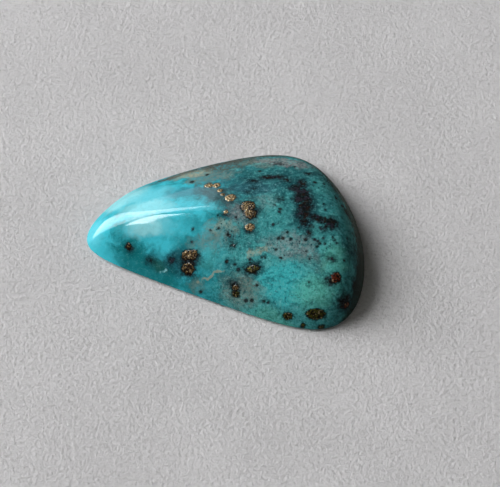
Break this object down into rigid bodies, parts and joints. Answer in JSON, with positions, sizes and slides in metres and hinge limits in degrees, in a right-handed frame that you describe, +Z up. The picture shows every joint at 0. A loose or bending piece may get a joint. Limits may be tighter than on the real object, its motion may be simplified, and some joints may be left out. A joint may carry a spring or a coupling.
{
  "type": "turquoise cabochon",
  "caption": "Polished freeform turquoise stone with a domed face, a soft keel running in from its narrow tip, and a flat back for setting or gluing.",
  "frame": {"origin": "on the flat back, under the middle of the stone's box", "axes": "+X along the length, from the narrow tip to the broad end; +Z up out of the domed face"},
  "size_m": [0.028, 0.0192, 0.0048],
  "materials": {
    "polished_turquoise": "Polished blue-green turquoise with pale clouds, grey quartz patches, pyrite grains and black matrix; the flat back is ground matt."
  },
  "bodies": {
    "root": {"turquoise_cabochon": "polished_turquoise"}
  },
  "joints": []
}
